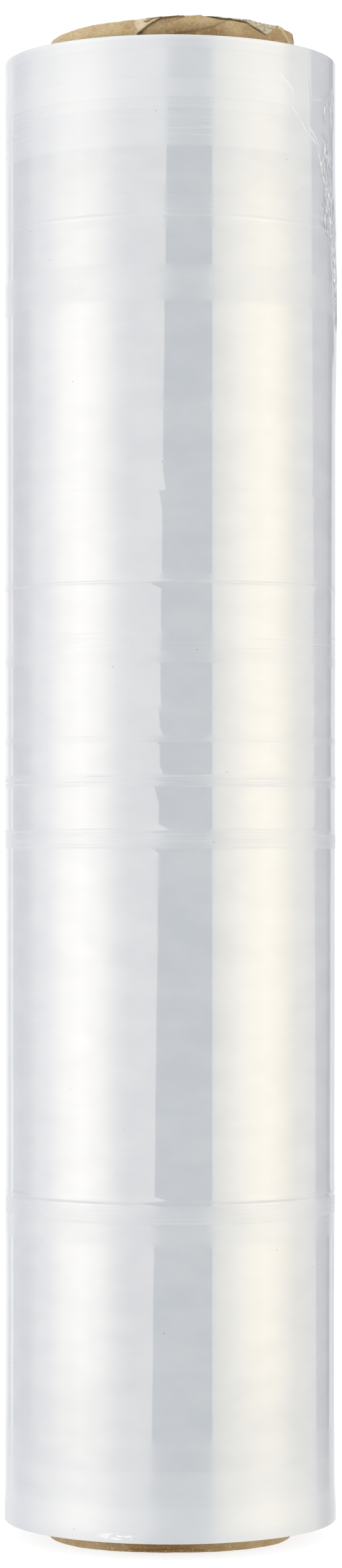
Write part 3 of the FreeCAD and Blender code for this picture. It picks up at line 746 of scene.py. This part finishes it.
def film_shape():
    """The tree that turns the film's section round the axis and lays the loose end's creases on it."""
    tree, size = group_with("wound film shape", FILM_SIZES)

    def math_of(operation, *values):
        return add(tree, "ShaderNodeMath", dict(enumerate(values)), operation=operation).outputs[0]

    grid = add(
        tree,
        "GeometryNodeMeshGrid",
        {"Size X": 1.0, "Size Y": 1.0, "Vertices X": size["Columns"], "Vertices Y": size["Rows"]},
    )
    flat = add(tree, "ShaderNodeSeparateXYZ", {0: add(tree, "GeometryNodeInputPosition").outputs[0]}).outputs

    # Each row of the grid takes its radius and height from one point of the section.
    last = math_of("SUBTRACT", size["Rows"], 1.0)
    row = math_of("ROUND", math_of("MULTIPLY", math_of("ADD", flat[1], 0.5), last))

    def of_row(kind, value):
        picked = {"Geometry": size["Geometry"], "Value": value, "Index": row}
        return add(tree, "GeometryNodeSampleIndex", picked, data_type=kind, domain="POINT").outputs[0]

    def named(name, kind="FLOAT"):
        return add(tree, "GeometryNodeInputNamedAttribute", {"Name": name}, data_type=kind).outputs[0]

    point = of_row("FLOAT_VECTOR", add(tree, "GeometryNodeInputPosition").outputs[0])
    point = add(tree, "ShaderNodeSeparateXYZ", {0: point}).outputs
    radius, level = point[0], point[2]
    side, end_face = of_row("FLOAT", named("side")), of_row("FLOAT", named("end_face"))
    looks = [(name, of_row("FLOAT", named(name))) for name in ("haze", "milk", "lined")]

    # Columns: most of them share the narrow part of the turn that the loose end takes up.
    share = math_of("ADD", flat[0], 0.5)
    coarse = math_of("SUBTRACT", math_of("ADD", size["Fine From"], 2 * math.pi), size["Fine To"])
    plain = add(tree, "ShaderNodeMapRange", {0: share, 1: 0.0, 2: 0.32, 3: 0.0, 4: coarse}).outputs[0]
    narrow = math_of("SUBTRACT", size["Fine To"], size["Fine From"])
    close = add(tree, "ShaderNodeMapRange", {0: share, 1: 0.32, 2: 1.0, 3: 0.0, 4: narrow}).outputs[0]
    turn = math_of("ADD", math_of("ADD", plain, close), size["Fine To"])
    sine, cosine = math_of("SINE", turn), math_of("COSINE", turn)
    across, deep = math_of("MULTIPLY", radius, sine), math_of("MULTIPLY", radius, cosine)
    place = add(tree, "ShaderNodeCombineXYZ", {0: across, 1: math_of("MULTIPLY", deep, -1.0), 2: level})
    place = place.outputs[0]

    # The loose end bulges a little off the roll.
    past = math_of("SUBTRACT", math_of("SUBTRACT", turn, size["Slack Turn"]), 2 * math.pi)
    past = math_of("WRAP", past, math.pi, -math.pi)
    aside = math_of("POWER", math_of("ABSOLUTE", math_of("DIVIDE", past, size["Slack Half Angle"])), 2.0)
    off = math_of("DIVIDE", math_of("SUBTRACT", level, size["Slack Height"]), size["Slack Half Height"])
    off = math_of("POWER", math_of("ABSOLUTE", off), 2.0)
    inside = math_of("SUBTRACT", 1.0, math_of("ADD", aside, off))
    bulge = add(tree, "ShaderNodeMapRange", {0: inside, 1: 0.0, 2: 1.0}, interpolation_type="SMOOTHSTEP")
    relief = math_of("MULTIPLY", bulge.outputs[0], size["Slack Lift"])

    # Creases rise where the film lies near one of the crease lines.
    info = add(tree, "GeometryNodeObjectInfo", {"Object": size["Creases"]})
    lines = info.outputs["Geometry"]
    near = add(
        tree,
        "GeometryNodeProximity",
        {"Target": lines, "Source Position": place},
        target_element="EDGES",
    ).outputs["Distance"]
    nearest = add(
        tree, "GeometryNodeSampleNearest", {"Geometry": lines, "Sample Position": place}, domain="POINT"
    ).outputs[0]

    def of_line(name):
        picked = {"Geometry": lines, "Value": named(name), "Index": nearest}
        return add(tree, "GeometryNodeSampleIndex", picked, data_type="FLOAT", domain="POINT").outputs[0]

    ratio = math_of("DIVIDE", near, of_line("width"))
    fold = math_of("EXPONENT", math_of("MULTIPLY", math_of("MULTIPLY", ratio, ratio), -1.0))
    bitten = add(
        tree, "ShaderNodeTexNoise", {"Vector": place, "Scale": 1 / (1.6 * MM), "Detail": 1.0}
    ).outputs[0]
    bitten = add(tree, "ShaderNodeMapRange", {0: bitten, 1: 0.38, 2: 0.6, 3: 0.35, 4: 1.15}).outputs[0]
    fold = math_of("MULTIPLY", fold, bitten)
    relief = math_of("ADD", relief, math_of("MULTIPLY", fold, of_line("rise")))

    # Crumples round the lower creases, from ridged noise with lumps about 3 mm wide and 7 mm high.
    to_reach = math_of("DIVIDE", near, size["Crumple Reach"])
    close_by = math_of("EXPONENT", math_of("MULTIPLY", math_of("MULTIPLY", to_reach, to_reach), -1.0))
    lower = add(
        tree,
        "ShaderNodeMapRange",
        {0: turn, 1: math.radians(62) + 2 * math.pi, 2: math.radians(68) + 2 * math.pi},
    ).outputs[0]
    below = add(
        tree,
        "ShaderNodeMapRange",
        {0: level, 1: (FILM_TOP - 24) * MM, 2: (FILM_TOP - 36) * MM, 3: 0.5, 4: 1.0},
    ).outputs[0]
    crumpled = math_of("MULTIPLY", math_of("MULTIPLY", close_by, lower), below)
    lumps = add(
        tree, "ShaderNodeVectorMath", {0: place, 1: (1 / 0.0026, 1 / 0.0026, 1 / 0.0075)}, operation="MULTIPLY"
    ).outputs[0]
    ridges = add(
        tree,
        "ShaderNodeTexNoise",
        {"Vector": lumps, "W": size["Seed"], "Scale": 1.0, "Detail": 1.0},
        noise_dimensions="4D",
        noise_type="RIDGED_MULTIFRACTAL",
        normalize=True,
    ).outputs[0]
    rough = math_of("MULTIPLY", math_of("SUBTRACT", ridges, 0.45), size["Crumple"])
    relief = math_of("ADD", relief, math_of("MULTIPLY", rough, crumpled))
    relief = math_of("MULTIPLY", relief, side)

    # The ends: some turns lie a little lower than their neighbours.
    wound = math_of("MULTIPLY", radius, 1 / MM)
    spot = add(tree, "ShaderNodeCombineXYZ", {0: wound, 1: cosine, 2: sine}).outputs[0]
    squeezed = add(tree, "ShaderNodeVectorMath", {0: spot, 1: (1.1, 0.35, 0.35)}, operation="MULTIPLY")
    turns = add(
        tree,
        "ShaderNodeTexNoise",
        {"Vector": squeezed.outputs[0], "W": size["Seed"], "Scale": 1.0, "Detail": 4.0},
        noise_dimensions="4D",
    ).outputs[0]
    sink = math_of("MULTIPLY", math_of("MULTIPLY", turns, end_face), size["Turn Depth"])
    upper = math_of("GREATER_THAN", flat[1], 0.0)
    sink = math_of("MULTIPLY", sink, math_of("MULTIPLY_ADD", upper, -2.0, 1.0))

    push = add(tree, "ShaderNodeCombineXYZ", {0: sine, 1: math_of("MULTIPLY", cosine, -1.0), 2: 0.0})
    push = add(tree, "ShaderNodeVectorMath", {0: push.outputs[0], 3: relief}, operation="SCALE").outputs[0]
    drop = add(tree, "ShaderNodeCombineXYZ", {2: sink}).outputs[0]
    place = add(tree, "ShaderNodeVectorMath", {0: place, 1: push}, operation="ADD").outputs[0]
    place = add(tree, "ShaderNodeVectorMath", {0: place, 1: drop}, operation="ADD").outputs[0]

    skin = grid.outputs[0]
    creased = math_of("MULTIPLY", fold, math_of("DIVIDE", of_line("rise"), 0.2 * MM))

    # The loose end covers the upper rings at the right.
    sideways = math_of("SUBTRACT", turn, 2 * math.pi)
    covered = add(
        tree, "ShaderNodeMapRange", {0: sideways, 1: math.radians(41), 2: math.radians(45), 3: 0.0, 4: 0.75}
    ).outputs[0]
    high_up = add(
        tree, "ShaderNodeMapRange", {0: level, 1: (FILM_TOP - 40) * MM, 2: (FILM_TOP - 35) * MM}
    ).outputs[0]
    bare = math_of("SUBTRACT", 1.0, math_of("MULTIPLY", covered, high_up))
    looks = [(name, math_of("MULTIPLY", value, bare)) for name, value in looks]
    for name, value in looks + [("end_face", end_face), ("crumpled", crumpled), ("creased", creased)]:
        skin = add(
            tree,
            "GeometryNodeStoreNamedAttribute",
            {"Geometry": skin, "Name": name, "Value": value},
            data_type="FLOAT",
            domain="POINT",
        ).outputs[0]
    bent = add(tree, "GeometryNodeSetPosition", {"Geometry": skin, "Position": place}).outputs[0]
    closed = add(tree, "GeometryNodeMergeByDistance", {"Geometry": bent, "Distance": 2e-6}).outputs[0]
    smooth = add(tree, "GeometryNodeSetShadeSmooth", {"Geometry": closed}).outputs[0]
    real = add(tree, "GeometryNodeRealizeInstances", {"Geometry": smooth}).outputs[0]
    finished = add(tree, "GeometryNodeSetMaterial", {"Geometry": real, "Material": size["Material"]})
    add(tree, "NodeGroupOutput", {"Geometry": finished.outputs[0]})
    return tree


def grown(name, start, tree, values):
    """The plain mesh object that a geometry tree makes from a starting mesh with these input values."""
    holder = bpy.data.objects.new(name + "_maker", start)
    bpy.context.scene.collection.objects.link(holder)
    modifier = holder.modifiers.new("shape", "NODES")
    modifier.node_group = tree
    for item in tree.interface.items_tree:
        if item.in_out == "INPUT" and item.name in values:
            modifier[item.identifier] = values[item.name]
    evaluated = holder.evaluated_get(bpy.context.evaluated_depsgraph_get())
    mesh = bpy.data.meshes.new_from_object(evaluated)
    mesh.name = name
    holder.modifiers.remove(modifier)
    bpy.data.objects.remove(holder)
    made = bpy.data.objects.new(name, mesh)
    bpy.context.scene.collection.objects.link(made)
    return made


# Clear cast polyethylene, wound tight: the many layers together look milky and mirror more light than one
# layer does, so the surface is pale grey and its reflections are strong and crisp. Where the layers hold a
# little air the film is hazy, which blurs the reflections and evens out its tone.
FILM_GREY, FILM_CLOUD, FILM_MILK, FILM_END = "#C7C8CD", "#CDCED2", "#DDDEE1", "#D0D2D5"
FILM_WHITE_GLINT, FILM_SHADED = "#F7F8FA", "#A3ABB4"
KNOCK_PLACE = (-0.0176, -0.0547, 0.0081)
DUST = "#4C453C"
LAYERED_IOR = 3.0


def film_material():
    film = bpy.data.materials.new("clear cast polyethylene film")
    film.use_nodes = True
    tree = film.node_tree
    shader = tree.nodes["Principled BSDF"]
    shader.inputs["IOR"].default_value = LAYERED_IOR
    place = add(tree, "ShaderNodeTexCoord").outputs["Object"]
    haze = add(tree, "ShaderNodeAttribute", attribute_name="haze").outputs["Fac"]
    milk = add(tree, "ShaderNodeAttribute", attribute_name="milk").outputs["Fac"]
    lined = add(tree, "ShaderNodeAttribute", attribute_name="lined").outputs["Fac"]
    end_face = add(tree, "ShaderNodeAttribute", attribute_name="end_face").outputs["Fac"]

    # Lines round the roll where a little air lies between the turns: they are about 0.3 mm high, some 30 mm
    # long and whitish, and they blur what the film mirrors.
    drawn = add(tree, "ShaderNodeMapping", {0: place, 3: (1 / 0.04, 1 / 0.04, 1 / 0.0005)}).outputs[0]
    lines = add(tree, "ShaderNodeTexNoise", {"Vector": drawn, "Scale": 1.0, "Detail": 1.0}).outputs[0]
    airy = add(tree, "ShaderNodeMapRange", {0: lines, 1: 0.55, 2: 0.62}).outputs[0]
    airy = add(tree, "ShaderNodeMath", {0: airy, 1: lined}, operation="MULTIPLY").outputs[0]
    hazy = add(
        tree, "ShaderNodeMath", {0: airy, 1: 0.55, 2: haze}, operation="MULTIPLY_ADD", use_clamp=True
    ).outputs[0]
    milk = add(
        tree, "ShaderNodeMath", {0: airy, 1: 0.12, 2: milk}, operation="MULTIPLY_ADD", use_clamp=True
    ).outputs[0]

    # Faint clouds, wider than they are high, of 8 mm.
    cloud = add(tree, "ShaderNodeMapping", {0: place, 3: (1 / 0.016, 1 / 0.016, 1 / 0.008)}).outputs[0]
    clouds = add(tree, "ShaderNodeTexNoise", {"Vector": cloud, "Scale": 1.0, "Detail": 4.0}).outputs[0]
    clouds = add(tree, "ShaderNodeMapRange", {0: clouds, 1: 0.35, 2: 0.65}).outputs[0]
    side = add(
        tree, "ShaderNodeMix", {0: clouds, 6: linear(FILM_GREY), 7: linear(FILM_CLOUD)}, data_type="RGBA"
    ).outputs[2]
    side = add(tree, "ShaderNodeMix", {0: milk, 6: side, 7: linear(FILM_MILK)}, data_type="RGBA").outputs[2]
    colour = add(tree, "ShaderNodeMix", {0: end_face, 6: side, 7: linear(FILM_END)}, data_type="RGBA")

    # Where the loose end is creased and crumpled, the stretched film turns white, in flecks 1 mm wide. These white
    # lines and flecks also stand in for the glints of the folds as painted highlights, and the hollows between the
    # folds are darkened as painted shade.
    crumpled = add(tree, "ShaderNodeAttribute", attribute_name="crumpled").outputs["Fac"]
    creased = add(tree, "ShaderNodeAttribute", attribute_name="creased").outputs["Fac"]
    gathered = add(tree, "ShaderNodeMapping", {0: place, 3: (1 / 0.0014, 1 / 0.0014, 1 / 0.0045)}).outputs[0]
    folds = add(
        tree,
        "ShaderNodeTexNoise",
        {"Vector": gathered, "Scale": 1.0, "Detail": 1.0},
        noise_type="RIDGED_MULTIFRACTAL",
        normalize=True,
    ).outputs[0]
    folds = add(tree, "ShaderNodeMath", {0: folds, 1: crumpled}, operation="MULTIPLY").outputs[0]
    # Painted shade: the hollows between the folds are darkened towards a shaded grey.
    hollows = add(tree, "ShaderNodeTexNoise", {"Vector": place, "Scale": 1 / 0.0022, "Detail": 2.0}).outputs[0]
    hollows = add(tree, "ShaderNodeMapRange", {0: hollows, 1: 0.48, 2: 0.6, 3: 0.0, 4: 0.9}).outputs[0]
    hollows = add(tree, "ShaderNodeMath", {0: hollows, 1: crumpled}, operation="MULTIPLY").outputs[0]
    colour = add(
        tree, "ShaderNodeMix", {0: hollows, 6: colour.outputs[2], 7: linear(FILM_SHADED)}, data_type="RGBA"
    )

    # Low at the front left the edges of the turns have been knocked, which left a few white crinkles there.
    knocked = add(tree, "ShaderNodeVectorMath", {0: place, 1: KNOCK_PLACE}, operation="SUBTRACT").outputs[0]
    knocked = add(
        tree, "ShaderNodeVectorMath", {0: knocked, 1: (1 / 0.0075, 0.0, 1 / 0.0014)}, operation="MULTIPLY"
    ).outputs[0]
    knocked = add(tree, "ShaderNodeVectorMath", {0: knocked}, operation="LENGTH").outputs["Value"]
    knocked = add(tree, "ShaderNodeMapRange", {0: knocked, 1: 1.0, 2: 0.4}).outputs[0]
    crinkles = add(tree, "ShaderNodeMapping", {0: place, 3: (1 / 0.003, 1 / 0.003, 1 / 0.0007)}).outputs[0]
    crinkles = add(tree, "ShaderNodeTexNoise", {"Vector": crinkles, "Scale": 1.0, "Detail": 2.0}).outputs[0]
    crinkles = add(tree, "ShaderNodeMapRange", {0: crinkles, 1: 0.48, 2: 0.6}).outputs[0]
    crinkles = add(tree, "ShaderNodeMath", {0: crinkles, 1: knocked}, operation="MULTIPLY").outputs[0]
    flecks = add(tree, "ShaderNodeMapRange", {0: folds, 1: 0.35, 2: 0.6, 3: 0.0, 4: 0.9}).outputs[0]
    flecks = add(tree, "ShaderNodeMath", {0: flecks, 1: crinkles}, operation="ADD").outputs[0]
    # The white here is partly the film's own whitening and partly painted highlight for the glints on the creases,
    # folds and crinkles.
    whitened_and_glints = add(
        tree, "ShaderNodeMath", {0: creased, 1: 0.55, 2: flecks}, operation="MULTIPLY_ADD", use_clamp=True
    ).outputs[0]
    colour = add(
        tree, "ShaderNodeMix", {0: whitened_and_glints, 6: colour.outputs[2], 7: linear(FILM_WHITE_GLINT)}, data_type="RGBA"
    )

    # A few specks of dust, 0.3 mm across, caught under the outermost turns.
    dust = add(tree, "ShaderNodeTexVoronoi", {"Vector": place, "Scale": 1 / 0.012}).outputs["Distance"]
    dust = add(tree, "ShaderNodeMapRange", {0: dust, 1: 0.022, 2: 0.014, 3: 0.0, 4: 0.7}).outputs[0]
    colour = add(
        tree, "ShaderNodeMix", {0: dust, 6: colour.outputs[2], 7: linear(DUST)}, data_type="RGBA"
    )
    tree.links.new(colour.outputs[2], shader.inputs["Base Color"])
    rough = add(tree, "ShaderNodeMapRange", {0: hazy, 1: 0.0, 2: 0.8, 3: 0.045, 4: 0.4}).outputs[0]
    rough = add(tree, "ShaderNodeMath", {0: end_face, 1: 0.3, 2: rough}, operation="MULTIPLY_ADD").outputs[0]
    tree.links.new(rough, shader.inputs["Roughness"])
    relief = add(tree, "ShaderNodeMath", {0: lined, 1: lines}, operation="MULTIPLY").outputs[0]
    bump = add(tree, "ShaderNodeBump", {"Strength": 0.15, "Distance": 0.02 * MM, "Height": relief})
    bump = add(
        tree,
        "ShaderNodeBump",
        {"Strength": 1.0, "Distance": 0.85 * MM, "Height": folds, "Normal": bump.outputs[0]},
    )
    tree.links.new(bump.outputs[0], shader.inputs["Normal"])
    return film


polyethylene = film_material()
section = film_section()
creases = crease_lines()
wound_film = grown(
    "wound_film",
    section,
    film_shape(),
    {"Creases": creases, "Rows": len(section.vertices), "Material": polyethylene},
)
bpy.data.objects.remove(creases)
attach(wound_film, "root")
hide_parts("film_roll")
